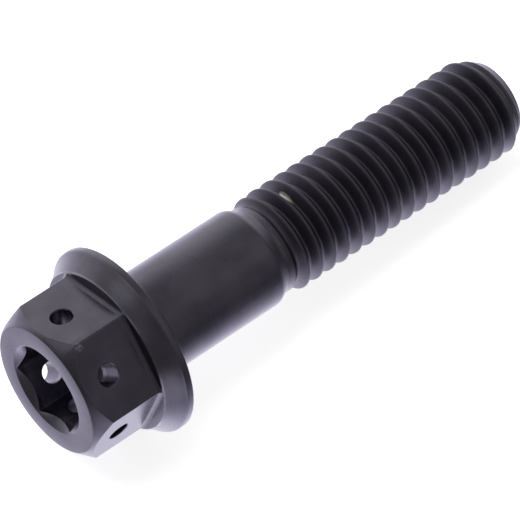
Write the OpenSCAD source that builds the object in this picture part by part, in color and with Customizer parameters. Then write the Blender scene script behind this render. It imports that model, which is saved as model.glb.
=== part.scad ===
// Flanged hex bolt with a hex socket in its head and wire holes through the
// flats. One solid, in millimetres, lying as it comes to rest on a flat
// surface: Z is up, the head points to -X and the tip to +X.

/* [Thread] */
// Outside diameter of the thread
thread_d = 7.8; // [7.6:0.05:8.2]
// Distance between neighbouring crests
pitch = 1.25; // [1.1:0.01:1.4]
// Radial height of the thread, root to crest
thread_depth = 0.75; // [0.6:0.01:0.78]
// Width of the flat on top of a crest
crest_w = 0.16; // [0.1:0.01:0.22]
// Turn of the thread about the axis, degrees
thread_turn = 298; // [0:1:359]
// Length over which the thread rises out of the neck
thread_rise = 1; // [1:0.1:3]
// Radius of the flat end at the tip
tip_r = 3.0; // [2.6:0.05:3.1]
// Slope of the chamfer at the tip, degrees from the end face
tip_slope = 56; // [45:1:60]

/* [Shank] */
// Length from the underside of the flange to the tip
length = 35; // [32:0.5:60]
// Diameter of the plain shank
shank_d = 7.75; // [7.6:0.05:8.1]
// Length of the plain shank under the flange
shank_len = 11.4; // [9:0.1:15]
// Diameter of the neck between shank and thread
neck_d = 7.0; // [6.9:0.05:7.1]
// Length of the cone from shank to neck
neck_cone = 0.65; // [0.4:0.05:1]
// Length of the plain part of the neck
neck_len = 0.45; // [0.4:0.05:1.2]
// Radius of the fillet under the flange
under_fillet = 0.4; // [0.2:0.05:0.6]

/* [Flange] */
// Diameter of the flange
flange_d = 14.7; // [14.3:0.1:15.5]
// Height of the straight rim of the flange
rim_h = 0.62; // [0.5:0.02:0.8]
// Rounding of the two rim edges
rim_round = 0.12; // [0.06:0.01:0.2]
// Slope of the top of the flange, degrees from its underside
flange_slope = 52; // [45:1:56]
// Radius of the flat ledge round the foot of the hexagon
ledge_r = 6.3; // [6.25:0.01:6.6]
// Fillet between the flats of the hexagon and the ledge
foot_fillet = 0.35; // [0.25:0.05:0.6]

/* [Head] */
// Width across the flats of the hexagon
hex_af = 10.6; // [10.4:0.1:11]
// Height of the head from the underside of the flange to its top
head_h = 7.25; // [6.9:0.05:7.6]
// Radius of the flat ring on top, where the chamfer starts
top_r = 5.1; // [4.8:0.05:5.15]
// Slope of the chamfer on top, degrees from the top face
top_slope = 47; // [30:1:52]
// Turn of the hexagon about the axis, degrees
hex_turn = 12; // [0:1:59]

/* [Socket] */
// Width across the flats of the socket
socket_af = 6.0; // [5.6:0.1:6.1]
// Depth of the straight part of the socket
socket_depth = 4.5; // [4.2:0.1:4.6]
// Turn of the socket from the outer hexagon, degrees
socket_turn = -2; // [-4:1:4]
// Radius of the countersink at the mouth of the socket
sink_r = 3.55; // [3.5:0.05:3.8]
// Slope of the countersink, degrees from the top face
sink_slope = 45; // [30:1:55]
// Slope of the drilled cone at the bottom of the socket, degrees
drill_slope = 30; // [20:1:32]

/* [Wire holes] */
// Diameter of the wire holes
wire_d = 1.6; // [1.5:0.1:2]
// Height of the wire holes above the underside of the flange
wire_h = 4.9; // [4.7:0.1:5.1]

/* [Finish] */
// Colour of the black coat
coat = [0.17, 0.165, 0.19];
// Columns of the thread surface in one turn
columns = 36; // [24:2:48]

/* [Hidden] */
$fn = 64;
shank_r = shank_d / 2;
neck_r = neck_d / 2;
// Length of the small bevel where the shank ends
shank_edge = 0.2;
crest_r = thread_d / 2;
root_r = crest_r - thread_depth;
flange_r = flange_d / 2;
flank_slope = 30;
flank_w = thread_depth * tan(flank_slope);
neck_end = shank_len + neck_cone + neck_len;
// The threaded body starts inside the neck and stands this far below its skin
neck_step = 0.06;
thread_overlap = 0.3;
blank_r = neck_r - neck_step;
thread_start = neck_end - thread_overlap;
tip_chamfer = (crest_r - tip_r) * tan(tip_slope);
// Turn of the whole bolt on its axis, so that it lies on a facet of its rim and
// not on a corner
roll = 0.9;
// The thread's columns start half a step off the line that the bolt lies on
first_column = 0.5 - roll * columns / 360;
// Rows of the thread surface: four corners of the profile in each pitch
rows_per_turn = 4;
row_off = [0, crest_w, crest_w + flank_w, pitch - flank_w];
row_r = [crest_r, crest_r, root_r, root_r];
first_turn = floor(thread_start / pitch) - 2;
last_turn = ceil(length / pitch) + 2;
row_count = (last_turn - first_turn) * rows_per_turn;
// How the bolt lies: on the rim of the flange and on the last full crest
under_turn = (thread_turn + roll) / 360;
last_crest = floor((length - tip_chamfer - crest_w) / pitch + under_turn);
rest_at = (last_crest - under_turn) * pitch + crest_w;
tilt = atan((flange_r - crest_r) / (rest_at + rim_round));
axis_lift = flange_r * cos(tilt) - rim_round * (sin(tilt) + cos(tilt) - 1);
back_reach = head_h * cos(tilt) + top_r * sin(tilt);
front_reach = length * cos(tilt) + tip_r * sin(tilt);
centre_shift = (back_reach - front_reach) / 2;
// Extra reach of a cutting tool past the surface that it opens
cut_over = 1;
// The drill of the socket stays this far inside its flats
drill_inset = 0.05;
drill_r = socket_af / 2 - drill_inset;
hex_r = hex_af / 2 / cos(30);
socket_r = socket_af / 2 / cos(30);
ledge_h = rim_h - rim_round * (1 - cos(flange_slope))
    + (flange_r - rim_round * (1 - sin(flange_slope)) - ledge_r) * tan(flange_slope);
// The foot of the hexagon stops this far inside the edge of the ledge
foot_inset = 0.035;
// The fillets run on this far below the ledge, to meet it in a clean edge
foot_sink = 0.02;
foot_r = ledge_r - foot_inset;
arc_steps = 8;
round_steps = 3;
wire_turns = [30, 90, 150];

flanged_bolt();

// The whole bolt, laid down on its rim and its last crest
module flanged_bolt() {
    color(coat)
    translate([centre_shift, 0, axis_lift])
    rotate([0, 90 + tilt, 0])
    rotate([0, 0, roll])
    upright_bolt();
}

// The bolt with its axis on Z and the underside of the flange at zero
module upright_bolt() {
    union() {
        head();
        shank();
        threaded_end();
    }
}

// Flange and hexagon, with the socket and the wire holes cut out
module head() {
    difference() {
        union() {
            flange();
            hexagon();
        }
        socket();
        wire_holes();
    }
}

// Turned flange: rounded rim, sloping top and the flat ledge
module flange() {
    rotate_extrude()
    polygon(concat(
        [[0, 0]],
        [for (i = [0 : round_steps])
            [flange_r - rim_round + rim_round * sin(90 * i / round_steps),
             -rim_round + rim_round * cos(90 * i / round_steps)]],
        [for (i = [0 : round_steps])
            [flange_r - rim_round + rim_round * cos((90 - flange_slope) * i / round_steps),
             -rim_h + rim_round - rim_round * sin((90 - flange_slope) * i / round_steps)]],
        [[ledge_r, -ledge_h], [0, -ledge_h]]
    ));
}

// Hexagon with a conical chamfer on top and filleted feet on the ledge
module hexagon() {
    intersection() {
        hex_slab(30);
        hex_slab(90);
        hex_slab(150);
        rotate_extrude()
        polygon([
            [0, -rim_h / 2],
            [foot_r, -rim_h / 2],
            [foot_r, -head_h + (foot_r - top_r) * tan(top_slope)],
            [top_r, -head_h],
            [0, -head_h]
        ]);
    }
}

// Two opposite flats with the fillets at their feet
module hex_slab(turn) {
    flat_r = hex_af / 2;
    quarter = [for (i = [0 : arc_steps])
        [flat_r + foot_fillet * (1 - cos(90 * i / arc_steps)),
         foot_sink - ledge_h - foot_fillet * (1 - sin(90 * i / arc_steps))]];
    side = concat(
        [[flat_r, -head_h - cut_over]],
        quarter,
        [[flat_r + foot_fillet, 0]]
    );
    rotate([0, 0, hex_turn + turn])
    rotate([90, 0, 0])
    translate([0, 0, -hex_r - cut_over])
    linear_extrude(height = 2 * (hex_r + cut_over))
    polygon(concat(
        side,
        [for (i = [len(side) - 1 : -1 : 0]) [-side[i][0], side[i][1]]]
    ));
}

// Hex socket with a countersunk mouth and a drilled bottom
module socket() {
    sink_h = (sink_r + cut_over) * tan(sink_slope);
    translate([0, 0, -head_h])
    union() {
        translate([0, 0, -cut_over])
        rotate([0, 0, hex_turn + socket_turn])
        cylinder(h = socket_depth + cut_over, r = socket_r, $fn = 6);
        translate([0, 0, -cut_over * tan(sink_slope)])
        cylinder(h = sink_h, r1 = sink_r + cut_over, r2 = 0);
        translate([0, 0, socket_depth])
        cylinder(
            h = drill_r * tan(drill_slope),
            r1 = drill_r,
            r2 = 0
        );
    }
}

// Three holes drilled through opposite flats, for locking wire
module wire_holes() {
    for (a = wire_turns)
        rotate([0, 0, hex_turn + a])
        translate([-hex_r - cut_over, 0, -wire_h])
        rotate([0, 90, 0])
        cylinder(h = 2 * (hex_r + cut_over), d = wire_d, $fn = 32);
}

// Plain shank with its fillet at the flange, and the neck
module shank() {
    rotate_extrude()
    polygon(concat(
        [[0, -rim_h / 2], [shank_r + under_fillet, -rim_h / 2]],
        [for (i = [0 : round_steps])
            [shank_r + under_fillet - under_fillet * sin(90 * i / round_steps),
             under_fillet - under_fillet * cos(90 * i / round_steps)]],
        [
            [shank_r, shank_len - shank_edge],
            [shank_r - shank_edge / 2, shank_len],
            [neck_r, shank_len + neck_cone],
            [neck_r, neck_end],
            [0, neck_end]
        ]
    ));
}

// Angle of one column of the thread surface
function column_turn(i) = 360 * (i + first_column) / columns;

// Height along the axis of one point of the thread surface
function row_z(i, k) = first_turn * pitch
    + pitch * (floor(k / rows_per_turn) + (i + first_column) / columns)
    - pitch * thread_turn / 360
    + row_off[k - rows_per_turn * floor(k / rows_per_turn)];

// Share of the full thread at a height: none in the neck, all after the rise
function grown(z) = min(1, max(0, (z - neck_end) / thread_rise));

// Radius of the thread surface at a height, inside the chamfer of the tip
function row_radius(k, z) = min(
    blank_r + grown(z) * (row_r[k - rows_per_turn * floor(k / rows_per_turn)] - blank_r),
    tip_r + (length - z) / tan(tip_slope)
);

// Rows outside the body are drawn in to its two end faces
function low_row(i) = max([for (k = [0 : row_count - 1]) if (row_z(i, k) <= thread_start) k]);
function high_row(i) = min([for (k = [0 : row_count - 1]) if (row_z(i, k) >= length) k]);

// Threaded body: one helical surface closed by a flat face at each end
module threaded_end() {
    lows = [for (i = [0 : columns - 1]) low_row(i)];
    highs = [for (i = [0 : columns - 1]) high_row(i)];
    points = concat(
        [for (i = [0 : columns - 1]) for (k = [0 : row_count - 1])
            let (
                z = min(length, max(thread_start, row_z(i, k))),
                r = row_radius(k, z)
            )
            [r * cos(column_turn(i)), r * sin(column_turn(i)), z]],
        [[0, 0, thread_start], [0, 0, length]]
    );
    start_hub = columns * row_count;
    end_hub = start_hub + 1;
    // The last column meets the first one a whole turn further on
    at = function (i, k)
        let (
            c = i % columns,
            row = k + (i >= columns ? rows_per_turn : 0)
        )
        c * row_count + min(highs[c], max(lows[c], row));
    skin = [
        for (i = [0 : columns - 1])
        for (k = [-rows_per_turn : row_count - 1])
        let (a = at(i, k), b = at(i, k + 1), c = at(i + 1, k), d = at(i + 1, k + 1))
        each [[a, b, d], [a, d, c]]
    ];
    ends = [
        for (i = [0 : columns - 1])
        let (n = (i + 1) % columns)
        each [
            [start_hub, i * row_count + lows[i], n * row_count + lows[n]],
            [end_hub, n * row_count + highs[n], i * row_count + highs[i]]
        ]
    ];
    polyhedron(
        points = points,
        faces = [
            for (f = concat(skin, ends))
            if (f[0] != f[1] && f[1] != f[2] && f[0] != f[2]) f
        ],
        convexity = 10
    );
}
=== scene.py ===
import math

import bmesh
import bpy
import numpy as np
from mathutils import Matrix, Vector


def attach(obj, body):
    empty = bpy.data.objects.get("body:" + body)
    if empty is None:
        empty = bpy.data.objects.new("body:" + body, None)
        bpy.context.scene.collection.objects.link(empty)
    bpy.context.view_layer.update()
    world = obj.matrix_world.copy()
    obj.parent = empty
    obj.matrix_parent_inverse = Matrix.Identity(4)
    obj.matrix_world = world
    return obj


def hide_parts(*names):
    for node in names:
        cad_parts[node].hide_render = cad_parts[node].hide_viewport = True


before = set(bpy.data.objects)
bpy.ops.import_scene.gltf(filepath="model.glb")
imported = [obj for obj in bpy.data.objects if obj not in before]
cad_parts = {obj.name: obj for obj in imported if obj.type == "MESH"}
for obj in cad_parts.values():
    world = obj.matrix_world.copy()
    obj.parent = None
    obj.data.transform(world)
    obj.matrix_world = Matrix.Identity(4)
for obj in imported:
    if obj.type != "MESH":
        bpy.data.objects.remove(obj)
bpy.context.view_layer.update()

MM = 0.001

# Sizes in millimetres and degrees, with radii from the bolt's axis and heights from the
# underside of the flange. From ROLL to LENGTH they are the same as in the part's source.
# The roll turns the bolt on its axis, so that the part rests on a facet of its rim
ROLL = 0.9

# Head
FLANGE_R = 7.35
RIM_H = 0.62
RIM_ROUND = 0.12
FLANGE_SLOPE = 52.0
LEDGE_R = 6.3
FOOT_R = 6.265
FOOT_FILLET = 0.35
HEX_FLAT = 5.3
HEAD_H = 7.25
TOP_R = 5.1
TOP_SLOPE = 47.0
HEX_TURN = 12.0 + ROLL

# Socket and wire holes
SOCKET_FLAT = 3.0
SOCKET_DEPTH = 4.5
SOCKET_TURN = -2.0
SINK_R = 3.55
SINK_SLOPE = 45.0
DRILL_SLOPE = 30.0
WIRE_R = 0.8
WIRE_H = 4.9

# Shank and neck
SHANK_R = 3.875
SHANK_LEN = 11.4
UNDER_FILLET = 0.4
NECK_R = 3.5
NECK_CONE = 0.65
NECK_LEN = 0.45

# Thread and tip
PITCH = 1.25
CREST_R = 3.9
THREAD_DEPTH = 0.75
CREST_W = 0.16
THREAD_TURN = 298.0 + ROLL
THREAD_RISE = 1.0
FLANK_ANGLE = 30.0
TIP_R = 3.0
TIP_SLOPE = 56.0
LENGTH = 35.0

# Small forms that differ from the part's source. The blank of the thread is 0.03 under the
# neck here and 0.06 there, and the others are in the scene alone
BLANK_STEP = 0.03
HEX_SOFT = 0.12
SOCKET_SOFT = 0.16
MOUTH_BREAK = 0.06
CONE_DIP = 0.06
END_BAND = 0.25


def tan(deg):
    return math.tan(math.radians(deg))


# Heights and radii that follow from the sizes
SLOPE = math.radians(FLANGE_SLOPE)
LEDGE_H = (RIM_H - RIM_ROUND * (1 - math.cos(SLOPE))
           + (FLANGE_R - RIM_ROUND * (1 - math.sin(SLOPE)) - LEDGE_R) * math.tan(SLOPE))
RIM_TOP = LEDGE_H - (FLANGE_R - LEDGE_R) * math.tan(SLOPE)
SOCKET_FLOOR = HEAD_H - SOCKET_DEPTH
SOCKET_END = SOCKET_FLOOR - SOCKET_FLAT * tan(DRILL_SLOPE)
CONE_END = SHANK_LEN + NECK_CONE
NECK_END = CONE_END + NECK_LEN
BLANK_R = NECK_R - BLANK_STEP
FLANK_W = THREAD_DEPTH * tan(FLANK_ANGLE)
ROOT_W = PITCH - CREST_W - 2 * FLANK_W
TURNS = THREAD_TURN / 360.0

# How the bolt lies: on the rim of its flange and on its last full crest
TIP_CHAMFER = (CREST_R - TIP_R) * tan(TIP_SLOPE)
LAST_CREST = math.floor((LENGTH - TIP_CHAMFER - CREST_W) / PITCH + TURNS)
REST = (LAST_CREST - TURNS) * PITCH + CREST_W
TILT = math.atan((FLANGE_R - CREST_R) / (REST + RIM_ROUND))
LIFT = FLANGE_R * math.cos(TILT) - RIM_ROUND * (math.sin(TILT) + math.cos(TILT) - 1)
HEAD_REACH = HEAD_H * math.cos(TILT) + TOP_R * math.sin(TILT)
TIP_REACH = LENGTH * math.cos(TILT) + TIP_R * math.sin(TILT)
SHIFT = (HEAD_REACH - TIP_REACH) / 2
LIE = (Matrix.Translation((SHIFT * MM, 0.0, LIFT * MM))
       @ Matrix.Rotation(math.pi / 2 + TILT, 4, "Y"))

# Columns of the mesh round the axis, in degrees: more of them at each corner of a hexagon
COLUMN_STEP = 3.0
LEAST_STEP = 0.22
OUTER_SPREAD = (0.0, 0.3, 0.6, 1.1)
INNER_SPREAD = (0.0, 0.7, 1.4)


def columns():
    """Angles of the columns, in order."""
    found = list(np.arange(0.0, 360.0, COLUMN_STEP))
    for k in range(6):
        outer = HEX_TURN + 60.0 * k
        inner = HEX_TURN + SOCKET_TURN + 60.0 * k
        for spread in OUTER_SPREAD:
            found += [outer - spread, outer + spread]
        for spread in INNER_SPREAD:
            found += [inner - spread, inner + spread]
    found = sorted(set(np.round(np.mod(found, 360.0), 3)))
    kept = [found[0]]
    for angle in found[1:]:
        if angle - kept[-1] > LEAST_STEP:
            kept.append(angle)
    return np.array(kept)


COLS = columns()
NCOL = len(COLS)
COS = np.cos(np.radians(COLS))
SIN = np.sin(np.radians(COLS))


def hex_radius(flat, turn, soft):
    """Distance from the axis to a hexagon with rounded corners, for every column."""
    half = math.radians(30.0)
    off = np.radians(np.abs(np.mod(COLS - turn, 60.0) - 30.0))
    centre = (flat - soft) / math.cos(half)
    near = half - off
    inside = soft ** 2 - (centre * np.sin(near)) ** 2
    arc = centre * np.cos(near) + np.sqrt(np.maximum(inside, 0.0))
    touch = np.arctan2(soft * math.sin(half), centre + soft * math.cos(half))
    return np.where(near < touch, arc, flat / np.cos(off))


def socket_corners():
    """Corners of the socket's profile: radius, height, length of the rounding."""
    inner = hex_radius(SOCKET_FLAT, HEX_TURN + SOCKET_TURN, SOCKET_SOFT)
    point = 0.35
    return [
        (0.0, SOCKET_END, 0.0),
        (point, SOCKET_END + point * tan(DRILL_SLOPE), 0.05),
        (SOCKET_FLAT - 0.04, SOCKET_FLOOR, 0.01),
        (inner, SOCKET_FLOOR, 0.03),
        (inner, HEAD_H - (SINK_R - inner) * tan(SINK_SLOPE), 0.04),
        (SINK_R, HEAD_H, 0.05),
    ]


def hexagon_corners():
    """Corners of the head's outside, down to the fillet at its foot."""
    outer = hex_radius(HEX_FLAT, HEX_TURN, HEX_SOFT)
    found = [(TOP_R, HEAD_H, 0.07), (outer, HEAD_H - (outer - TOP_R) * tan(TOP_SLOPE), 0.06)]
    steps = 10
    for i in range(steps + 1):
        a = math.radians(90.0 * i / steps)
        fillet = (HEX_FLAT + FOOT_FILLET * (1 - math.cos(a))) * outer / HEX_FLAT
        limit = FOOT_R + 0.003 * i
        found.append((np.minimum(fillet, limit), LEDGE_H + FOOT_FILLET * (1 - math.sin(a)), 0.02))
    return found


def flange_corners():
    """Corners of the flange: ledge, slightly hollow cone and rim."""
    start = LEDGE_R + 0.02
    found = [(start, LEDGE_H, 0.05)]
    for t in (0.2, 0.4, 0.6, 0.8):
        dip = CONE_DIP * math.sin(math.pi * t)
        found.append((start + (FLANGE_R - start) * t - dip * math.sin(SLOPE),
                      LEDGE_H + (RIM_TOP - LEDGE_H) * t - dip * math.cos(SLOPE), 0.15))
    return found + [(FLANGE_R, RIM_TOP, RIM_ROUND), (FLANGE_R, 0.0, RIM_ROUND)]


def shank_corners():
    """Corners of the shank and the neck, from the fillet under the flange."""
    found = [(SHANK_R + UNDER_FILLET, 0.0, 0.05)]
    steps = 6
    for i in range(1, steps):
        a = math.radians(90.0 * i / steps)
        found.append((SHANK_R + UNDER_FILLET * (1 - math.sin(a)), -UNDER_FILLET * (1 - math.cos(a)), 0.02))
    return found + [
        (SHANK_R, -UNDER_FILLET, 0.05),
        (SHANK_R, -6.0, 0.5),
        (SHANK_R, -(SHANK_LEN - 0.1), 0.18),
        (NECK_R, -CONE_END, 0.2),
        (NECK_R, -(NECK_END - 0.05), 0.04),
        (BLANK_R, -NECK_END, 0.0),
    ]


def rounded(corners):
    """Rows of a profile, with a short curve in place of each corner."""
    every = np.zeros(NCOL)
    corners = [(r + every, h + every, soft) for r, h, soft in corners]
    rows = [corners[0][:2]]
    for (r0, h0, _), (r1, h1, soft), (r2, h2, _) in zip(corners, corners[1:], corners[2:]):
        l0 = np.hypot(r1 - r0, h1 - h0)
        l2 = np.hypot(r2 - r1, h2 - h1)
        t0 = np.minimum(soft, 0.42 * l0) / np.maximum(l0, 1e-9)
        t2 = np.minimum(soft, 0.42 * l2) / np.maximum(l2, 1e-9)
        ar, ah = r1 + (r0 - r1) * t0, h1 + (h0 - h1) * t0
        br, bh = r1 + (r2 - r1) * t2, h1 + (h2 - h1) * t2
        for s in (0.0, 0.33, 0.67, 1.0) if soft > 0.03 else (0.5,):
            rows.append(((1 - s) ** 2 * ar + 2 * s * (1 - s) * r1 + s * s * br,
                         (1 - s) ** 2 * ah + 2 * s * (1 - s) * h1 + s * s * bh))
    return rows + [corners[-1][:2]]


# Points of the bolt, with its tip toward +Z, and the faces between them
points = []
faces = []


def add_point(x, y, z):
    points.append((x * MM, y * MM, z * MM))
    return len(points) - 1


def add_ring(radius, z):
    """A ring with one point in each column."""
    every = np.zeros(NCOL)
    return [add_point(*p) for p in zip((radius + every) * COS, (radius + every) * SIN, z + every)]


def add_fan(ring, z):
    """Faces from a ring to a point on the axis."""
    middle = add_point(0.0, 0.0, z)
    for i in range(NCOL):
        faces.append((middle, ring[i], ring[(i + 1) % NCOL]))


def add_band(one, other):
    """Faces between two rings."""
    for i in range(NCOL):
        n = (i + 1) % NCOL
        faces.append((one[i], one[n], other[n], other[i]))


def add_head():
    """Socket, head, flange, shank and neck. Gives the ring where the thread starts."""
    rows = rounded(socket_corners() + hexagon_corners() + flange_corners() + shank_corners())
    rings = [add_ring(r, -h) for r, h in rows[1:]]
    add_fan(rings[0], -SOCKET_END)
    for one, other in zip(rings, rings[1:]):
        add_band(one, other)
    return rings[-1]


# Rounding of the thread: place from the start of the crest or root, height over it
CREST_ROUND = ((-0.045, -0.075), (-0.01, -0.022), (0.04, -0.002))
ROOT_ROUND = ((-0.06, 0.105), (0.0, 0.03), (0.07, -0.012))


def thread_profile():
    """One pitch of the thread: places along the axis, and radii."""
    root_start = CREST_W + FLANK_W
    root_end = root_start + ROOT_W
    root_r = CREST_R - THREAD_DEPTH
    half_r = CREST_R - THREAD_DEPTH / 2
    found = [(z, CREST_R + d) for z, d in CREST_ROUND]
    found += [(CREST_W - z, CREST_R + d) for z, d in reversed(CREST_ROUND)]
    found.append((CREST_W + FLANK_W / 2, half_r))
    found += [(root_start + z, root_r + d) for z, d in ROOT_ROUND]
    found += [(root_end - z, root_r + d) for z, d in reversed(ROOT_ROUND)]
    found.append((root_end + FLANK_W / 2, half_r))
    return np.array(found).T


def add_thread(neck_ring):
    """Thread, in rows along the helix that end at the neck and at the end face.

    Gives the ring at the end face.
    """
    place, radius = thread_profile()
    per = len(place)
    first = math.floor(NECK_END / PITCH) - 2
    last = math.ceil(LENGTH / PITCH) + 2
    rows = np.arange((last - first) * per)
    lead = (first + rows // per) * PITCH + place[rows % per]
    z = lead[:, None] + (COLS[None, :] / 360.0 - TURNS) * PITCH
    grown = np.clip((z - NECK_END) / THREAD_RISE, 0.0, 1.0)
    grown = grown * grown * (3 - 2 * grown)
    r = BLANK_R + grown * (radius[rows % per][:, None] - BLANK_R)
    r = np.minimum(r, TIP_R + (LENGTH - z) / tan(TIP_SLOPE))
    low = [int(np.where(z[:, i] <= NECK_END)[0].max()) for i in range(NCOL)]
    high = [int(np.where(z[:, i] >= LENGTH)[0].min()) for i in range(NCOL)]
    ids = {}
    for i in range(NCOL):
        ids[i, low[i]] = neck_ring[i]
        for k in range(low[i] + 1, high[i]):
            ids[i, k] = add_point(r[k, i] * COS[i], r[k, i] * SIN[i], z[k, i])
        ids[i, high[i]] = add_point(TIP_R * COS[i], TIP_R * SIN[i], LENGTH)

    def corner(i, k):
        """The point in column i and row k. Past the last column the same row is a turn on."""
        column = i % NCOL
        row = k + per * (i // NCOL)
        return ids[column, min(high[column], max(low[column], row))]

    for i in range(NCOL):
        for k in range(-per, len(rows) - 1):
            loop = (corner(i, k), corner(i + 1, k), corner(i + 1, k + 1), corner(i, k + 1))
            loop = tuple(dict.fromkeys(loop))
            if len(loop) >= 3:
                faces.append(loop)
    return [ids[i, high[i]] for i in range(NCOL)]


def add_end(tip_ring):
    """Flat end face. A narrow band at its edge keeps the shading of the middle even."""
    inner = add_ring(TIP_R - END_BAND, LENGTH)
    add_band(tip_ring, inner)
    add_fan(inner, LENGTH)


def solid(name, corners, loops):
    """An object that lies as the bolt does, with its faces turned outward."""
    mesh = bpy.data.meshes.new(name + "_mesh")
    mesh.from_pydata(corners, [], loops)
    mesh.validate()
    work = bmesh.new()
    work.from_mesh(mesh)
    bmesh.ops.remove_doubles(work, verts=work.verts, dist=1e-7)
    bmesh.ops.recalc_face_normals(work, faces=work.faces)
    work.to_mesh(mesh)
    work.free()
    made = bpy.data.objects.new(name, mesh)
    bpy.context.scene.collection.objects.link(made)
    made.matrix_world = LIE
    return made


def drill(name, turn):
    """Cutter for one wire hole, wider outside the flats so that it breaks the mouths."""
    ring = 40
    reach = 7.2
    wide = WIRE_R + reach - HEX_FLAT - MOUTH_BREAK
    mouth = HEX_FLAT - MOUTH_BREAK
    spin = Matrix.Rotation(math.radians(turn), 3, "Z")
    corners = []
    for x, r in ((-reach, wide), (-mouth, WIRE_R), (mouth, WIRE_R), (reach, wide)):
        for i in range(ring):
            a = 2 * math.pi * (i + 0.5) / ring
            corners.append(tuple(spin @ Vector((x, r * math.cos(a), r * math.sin(a) - WIRE_H)) * MM))
    loops = []
    for j in range(3):
        for i in range(ring):
            n = (i + 1) % ring
            loops.append((j * ring + i, j * ring + n, (j + 1) * ring + n, (j + 1) * ring + i))
    loops += [tuple(range(ring)), tuple(range(4 * ring - 1, 3 * ring - 1, -1))]
    return solid(name, corners, loops)


def cut_wire_holes(bolt):
    """Cut the three wire holes, and give the bolt the mesh that is left."""
    cutters = []
    for n, turn in enumerate((30.0, 90.0, 150.0)):
        cutters.append(drill("drill_%d" % n, HEX_TURN + turn))
        cut = bolt.modifiers.new("cut_%d" % n, "BOOLEAN")
        cut.operation = "DIFFERENCE"
        cut.solver = "EXACT"
        cut.object = cutters[-1]
    bpy.context.view_layer.update()
    deps = bpy.context.evaluated_depsgraph_get()
    mesh = bpy.data.meshes.new_from_object(bolt.evaluated_get(deps))
    mesh.name = "bolt_done"
    bolt.modifiers.clear()
    bolt.data = mesh
    for cutter in cutters:
        bpy.data.objects.remove(cutter, do_unlink=True)
    work = bmesh.new()
    work.from_mesh(mesh)
    bmesh.ops.dissolve_degenerate(work, dist=2e-6, edges=work.edges)
    work.to_mesh(mesh)
    work.free()


def lay_down(bolt):
    """Keep the bolt's own coordinates for its coat, then lay its mesh down as it rests."""
    mesh = bolt.data
    own = mesh.attributes.new("own_place", "FLOAT_VECTOR", "POINT")
    flat = np.empty(len(mesh.vertices) * 3, dtype=np.float32)
    mesh.vertices.foreach_get("co", flat)
    own.data.foreach_set("vector", flat)
    mesh.transform(LIE)
    bolt.matrix_world = Matrix.Identity(4)


def shade(bolt):
    """Smooth faces, with the edges over 38 degrees kept sharp."""
    for face in bolt.data.polygons:
        face.use_smooth = True
    bolt.data.set_sharp_from_angle(angle=math.radians(38.0))
    weight = bolt.modifiers.new("even_shading", "WEIGHTED_NORMAL")
    weight.mode = "FACE_AREA"
    weight.weight = 90
    weight.keep_sharp = True


class Nodes:
    """Short ways to add nodes to a node tree."""

    def __init__(self, tree):
        self.tree = tree

    def add(self, kind, **values):
        made = self.tree.nodes.new(kind)
        for key, value in values.items():
            setattr(made, key, value)
        return made

    def plug(self, socket, value):
        if isinstance(value, bpy.types.NodeSocket):
            self.tree.links.new(value, socket)
        else:
            socket.default_value = value

    def calc(self, op, a, b=0.0):
        made = self.add("ShaderNodeMath", operation=op)
        self.plug(made.inputs[0], a)
        self.plug(made.inputs[1], b)
        return made.outputs[0]

    def total(self, first, *others):
        for other in others:
            first = self.calc("ADD", first, other)
        return first

    def product(self, first, *others):
        for other in others:
            first = self.calc("MULTIPLY", first, other)
        return first

    def dot(self, vector, direction):
        made = self.add("ShaderNodeVectorMath", operation="DOT_PRODUCT")
        self.plug(made.inputs[0], vector)
        self.plug(made.inputs[1], direction)
        return made.outputs["Value"]

    def split(self, vector):
        made = self.add("ShaderNodeSeparateXYZ")
        self.plug(made.inputs[0], vector)
        return made.outputs

    def length(self, x, y):
        return self.calc("SQRT", self.total(self.product(x, x), self.product(y, y)))

    def ease(self, value, lo, hi, to_lo=0.0, to_hi=1.0):
        """A smooth step from one value to another."""
        made = self.add("ShaderNodeMapRange", interpolation_type="SMOOTHSTEP")
        self.plug(made.inputs["Value"], value)
        made.inputs["From Min"].default_value = lo
        made.inputs["From Max"].default_value = hi
        made.inputs["To Min"].default_value = to_lo
        made.inputs["To Max"].default_value = to_hi
        return made.outputs["Result"]

    def between(self, value, start, full, fade, end):
        """One from full to fade, and zero before start and after end."""
        return self.product(self.ease(value, start, full), self.ease(value, fade, end, 1.0, 0.0))

    def spot(self, xyz, centre, scale):
        """Square of the distance from a centre, with a scale for each direction."""
        parts = []
        for value, middle, times in zip(xyz, centre, scale):
            step = self.product(self.total(value, -middle), times)
            parts.append(self.product(step, step))
        return self.total(*parts)

    def blend(self, amount, a, b):
        made = self.add("ShaderNodeMix", data_type="RGBA")
        self.plug(made.inputs["Factor"], amount)
        self.plug(made.inputs["A"], a)
        self.plug(made.inputs["B"], b)
        return made.outputs["Result"]

    def noise(self, vector, scale, detail=2.0, rough=0.5):
        made = self.add("ShaderNodeTexNoise")
        self.plug(made.inputs["Vector"], vector)
        made.inputs["Scale"].default_value = scale
        made.inputs["Detail"].default_value = detail
        made.inputs["Roughness"].default_value = rough
        return made.outputs["Fac"]


# Colours of the coat: painted shade for the thread, painted fill light for the socket, a painted highlight
# for edges, and bare metal where it is worn through, painted near white as a glint
DARK_COAT = (0.165, 0.155, 0.195, 1.0)
PALE_COAT = (0.220, 0.200, 0.250, 1.0)
TURNED_COAT = (0.30, 0.28, 0.32, 1.0)
# Painted shade that darkens the thread
THREAD_SHADE = (0.07, 0.065, 0.08, 1.0)
TIP_COAT = (0.40, 0.38, 0.44, 1.0)
# Painted fill light that lightens the socket
SOCKET_FILL_LIGHT = (0.34, 0.32, 0.39, 1.0)
# Painted highlight on the ledge's edge and on one corner of the hexagon
EDGE_HIGHLIGHT = (0.62, 0.60, 0.68, 1.0)
# Bare metal of the worn spot, painted near white as a glint
BARE_METAL_GLINT = (0.97, 0.90, 0.86, 1.0)
BROWN_METAL = (0.55, 0.36, 0.12, 1.0)

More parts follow.
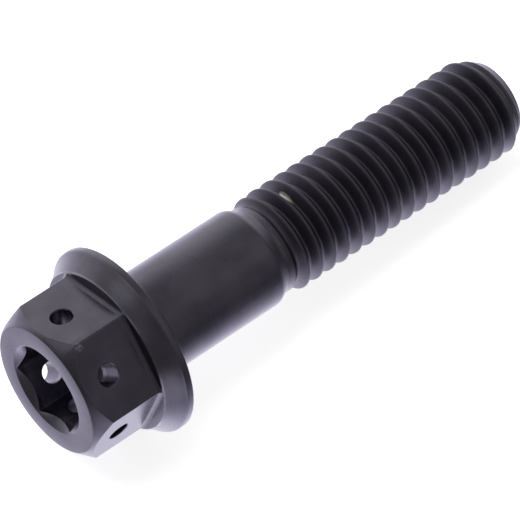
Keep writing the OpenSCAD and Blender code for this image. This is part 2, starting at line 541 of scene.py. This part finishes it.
# Bands along the bolt, in its own coordinates: where each one starts, is full, fades and ends
MILLED_BAND = (-6.9, -6.8, -2.4, -2.2)
# Band of the painted fill light in the socket
SOCKET_FILL_BAND = (-6.75, -6.5, -1.0, -0.8)
# Band of the painted highlight on the ledge's edge
LEDGE_HIGHLIGHT_BAND = (-2.1, -2.0, -1.75, -1.65)

# Marks on the bolt, in its own coordinates: centre, and scale in each direction. The worn spot is painted
# near white as a glint, and the corner mark is a painted highlight
WORN_GLINT_PLACE = (-3.0, 0.85, 15.34)
WORN_GLINT_SCALE = (2.2, 1.25, 6.5)
# Place of the painted highlight on a corner of the hexagon
CORNER_HIGHLIGHT_PLACE = (-5.82, -1.59, -5.947)
CORNER_HIGHLIGHT_SCALE = (2.8, 2.8, 2.6)


def worn_glint_spot(g, tone, x, y, z):
    """A spot worn bare in the second groove of the thread, painted near white as a glint, brown at one
    end.
    """
    worn_glint = g.ease(g.spot((x, y, z), WORN_GLINT_PLACE, WORN_GLINT_SCALE), 0.5, 1.3, 1.0, 0.0)
    return g.blend(worn_glint, tone, g.blend(g.ease(y, 0.1, 0.7), BROWN_METAL, BARE_METAL_GLINT))


def ledge_highlight(g, tone, place, r, z):
    """A painted highlight along the edge of the flange's ledge, broken up in patches."""
    edge = g.ease(g.calc("ABSOLUTE", g.total(r, -LEDGE_R - 0.03)), 0.03, 0.09, 1.0, 0.0)
    patchy = g.ease(g.noise(place, 700.0), 0.3, 0.6, 0.05, 0.4)
    return g.blend(g.product(edge, g.between(z, *LEDGE_HIGHLIGHT_BAND), patchy), tone, EDGE_HIGHLIGHT)


def corner_highlight(g, tone, place, x, y, z):
    """A painted highlight on one corner of the hexagon, broken up in patches."""
    highlight_spot = g.ease(g.spot((x, y, z), CORNER_HIGHLIGHT_PLACE, CORNER_HIGHLIGHT_SCALE), 0.3, 1.2, 1.0, 0.0)
    patchy = g.ease(g.noise(place, 3400.0), 0.40, 0.60, 0.0, 0.8)
    return g.blend(g.product(highlight_spot, patchy), tone, EDGE_HIGHLIGHT)


def coat():
    """Black coat: dark metal with a violet cast."""
    mat = bpy.data.materials.new("black_coat")
    mat.use_nodes = True
    g = Nodes(mat.node_tree)
    bsdf = mat.node_tree.nodes["Principled BSDF"]
    place = g.add("ShaderNodeAttribute", attribute_name="own_place").outputs["Vector"]
    x, y, z = (g.product(part, 1.0 / MM) for part in g.split(place))
    r = g.length(x, y)

    # Turning lines run round the axis, and the milled flats have none
    rings = g.add("ShaderNodeCombineXYZ")
    g.plug(rings.inputs[0], r)
    g.plug(rings.inputs[2], z)
    lines = g.noise(rings.outputs[0], 9.0, 3.0, 0.6)
    turned = g.calc("SUBTRACT", 1.0, g.between(z, *MILLED_BAND))
    cloud = g.noise(place, 260.0, 4.0, 0.55)
    grain = g.noise(place, 5200.0, 2.0, 0.6)
    threaded = g.ease(z, NECK_END - 0.2, NECK_END + 0.5)

    # The coat: darker on the thread as painted shade, lighter toward the tip, and lighter in the socket as
    # painted fill light
    tone = g.blend(g.ease(cloud, 0.35, 0.65), DARK_COAT, PALE_COAT)
    tone = g.blend(g.product(g.ease(lines, 0.3, 0.7), turned, 0.15), tone, TURNED_COAT)
    # Painted shade: the thread is darkened
    tone = g.blend(g.product(threaded, 0.3), tone, THREAD_SHADE)
    tip = g.ease(z, LENGTH - 1.7, LENGTH - 1.2)
    side = g.ease(z, LENGTH - 0.15, LENGTH - 0.05, 1.0, 0.25)
    tone = g.blend(g.product(tip, side, 0.45), tone, TIP_COAT)
    # Painted fill light: the socket is lightened
    inside = g.ease(r, SINK_R - 0.05, SINK_R + 0.05, 1.0, 0.0)
    tone = g.blend(g.product(g.between(z, *SOCKET_FILL_BAND), inside), tone, SOCKET_FILL_LIGHT)
    # A worn spot, painted near white as a glint
    tone = worn_glint_spot(g, tone, x, y, z)
    # Painted highlight on the ledge's edge
    tone = ledge_highlight(g, tone, place, r, z)
    # Painted highlight on one corner of the hexagon
    tone = corner_highlight(g, tone, place, x, y, z)
    g.plug(bsdf.inputs["Base Color"], tone)

    # Satin gloss, duller on the thread, with the turning lines and a fine grain in relief
    bsdf.inputs["Metallic"].default_value = 1.0
    g.plug(bsdf.inputs["Roughness"], g.total(0.20, g.product(threaded, 0.12), g.product(cloud, 0.16)))
    bump = g.add("ShaderNodeBump")
    bump.inputs["Distance"].default_value = 0.02 * MM
    bump.inputs["Strength"].default_value = 0.25
    g.plug(bump.inputs["Height"], g.total(g.product(lines, turned), g.product(grain, 0.3)))
    g.plug(bsdf.inputs["Normal"], bump.outputs["Normal"])
    return mat


def make_bolt():
    add_end(add_thread(add_head()))
    made = solid("bolt", points, faces)
    cut_wire_holes(made)
    lay_down(made)
    shade(made)
    made.data.materials.clear()
    made.data.materials.append(coat())
    return made


def floor_paint():
    """White paint, and a glow that only the camera sees."""
    mat = bpy.data.materials.new("white_floor")
    mat.use_nodes = True
    g = Nodes(mat.node_tree)
    paint = mat.node_tree.nodes["Principled BSDF"]
    paint.inputs["Base Color"].default_value = (0.9, 0.9, 0.9, 1)
    paint.inputs["Roughness"].default_value = 0.9
    paint.inputs["Specular IOR Level"].default_value = 0.0
    paint.inputs["Emission Color"].default_value = (1, 1, 1, 1)
    seen = g.add("ShaderNodeLightPath").outputs["Is Camera Ray"]
    g.plug(paint.inputs["Emission Strength"], g.product(seen, 0.80))
    return mat


def make_floor():
    """White floor that keeps the shadow. Glossy rays see the lower half of the world instead."""
    half = 3.0
    corners = [(-half, -half, 0), (half, -half, 0), (half, half, 0), (-half, half, 0)]
    mesh = bpy.data.meshes.new("floor_mesh")
    mesh.from_pydata(corners, [], [(0, 1, 2, 3)])
    mesh.materials.append(floor_paint())
    made = bpy.data.objects.new("floor", mesh)
    bpy.context.scene.collection.objects.link(made)
    made.visible_glossy = False
    return made


def direction(azimuth, elevation):
    """Unit vector toward a point of the sky, from angles in degrees."""
    az, el = math.radians(azimuth), math.radians(elevation)
    return Vector((math.cos(el) * math.cos(az), math.cos(el) * math.sin(az), math.sin(el)))


# Camera of the photograph, fitted to the outline of the bolt. Lengths in millimetres
CAMERA_AZIMUTH = -130.733
CAMERA_ELEVATION = 57.695
CAMERA_DISTANCE = 354.12
CAMERA_TARGET = (-2.241, -1.075, 7.0)
SENSOR_W = 36.0
PHOTO_PIXELS = 520.0
FOCAL_PIXELS = 5000.0


def aim(made, target):
    """Turn a camera or lamp toward a point."""
    made.rotation_euler = (target - made.location).to_track_quat("-Z", "Y").to_euler()


def make_camera():
    data = bpy.data.cameras.new("camera")
    data.sensor_width = SENSOR_W
    data.lens = FOCAL_PIXELS / PHOTO_PIXELS * SENSOR_W
    data.clip_start = 0.01
    data.clip_end = 20.0
    made = bpy.data.objects.new("camera", data)
    bpy.context.scene.collection.objects.link(made)
    target = Vector(CAMERA_TARGET) * MM
    made.location = target + direction(CAMERA_AZIMUTH, CAMERA_ELEVATION) * CAMERA_DISTANCE * MM
    aim(made, target)
    bpy.context.scene.camera = made


# The room as the metal mirrors it: azimuths and elevations in degrees
BRIGHT_SIDE = 68.0
LEFT_LIGHT = (150.0, 42.0)
RIGHT_LIGHT = (-60.0, 30.0)
TABLE_LIGHT = (-122.0, -22.0)
ROOM_WHITE = (1.0, 1.0, 1.0, 1.0)
TABLE_WHITE = (0.97, 0.96, 1.10, 1.0)


def make_world():
    """A dim room with a broad bright side, over a white table in the lower half."""
    world = bpy.data.worlds.new("world")
    bpy.context.scene.world = world
    world.use_nodes = True
    g = Nodes(world.node_tree)
    back = world.node_tree.nodes["Background"]
    sight = g.add("ShaderNodeTexCoord").outputs["Generated"]
    x, y, z = g.split(sight)
    below = g.calc("MAXIMUM", g.product(z, -1.0), 0.0)
    level = g.calc("MAXIMUM", g.length(x, y), 0.001)
    toward = g.calc("DIVIDE", g.dot(sight, direction(BRIGHT_SIDE, 0.0)), level)
    side = g.ease(toward, 0.10, 1.0)
    dim = g.total(g.ease(z, 0.45, 0.80, 0.11, 0.21), g.product(g.calc("POWER", below, 3.1), 1.6))
    lit = g.total(g.ease(z, 0.10, 0.85, 0.80, 0.21), g.ease(below, 0.0, 0.6, 0.0, 0.55))
    left = g.ease(g.dot(sight, direction(*LEFT_LIGHT)), 0.945, 0.99, 0.0, 0.32)
    right = g.ease(g.dot(sight, direction(*RIGHT_LIGHT)), 0.80, 0.98, 0.0, 0.05)
    table = g.ease(g.dot(sight, direction(*TABLE_LIGHT)), 0.93, 0.985, 0.0, 0.5)
    room = g.total(g.product(dim, g.calc("SUBTRACT", 1.0, side)), g.product(lit, side))
    g.plug(back.inputs["Strength"], g.total(room, left, right, table))
    g.plug(back.inputs["Color"], g.blend(g.ease(below, 0.0, 0.3), ROOM_WHITE, TABLE_WHITE))


def make_lamp():
    """Soft lamp over the bolt, for the shadow on the floor. The metal doesn't mirror it."""
    data = bpy.data.lights.new("top_lamp", "AREA")
    data.shape = "DISK"
    data.size = 0.5
    data.energy = 2.6
    made = bpy.data.objects.new("top_lamp", data)
    bpy.context.scene.collection.objects.link(made)
    made.location = (-0.12, 0.22, 0.62)
    aim(made, Vector((0, 0, 0)))
    made.visible_glossy = False


bolt = make_bolt()
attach(bolt, "root")
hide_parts("flanged_bolt")
floor = make_floor()
make_camera()
make_world()
make_lamp()
bpy.context.scene.view_settings.view_transform = "Standard"
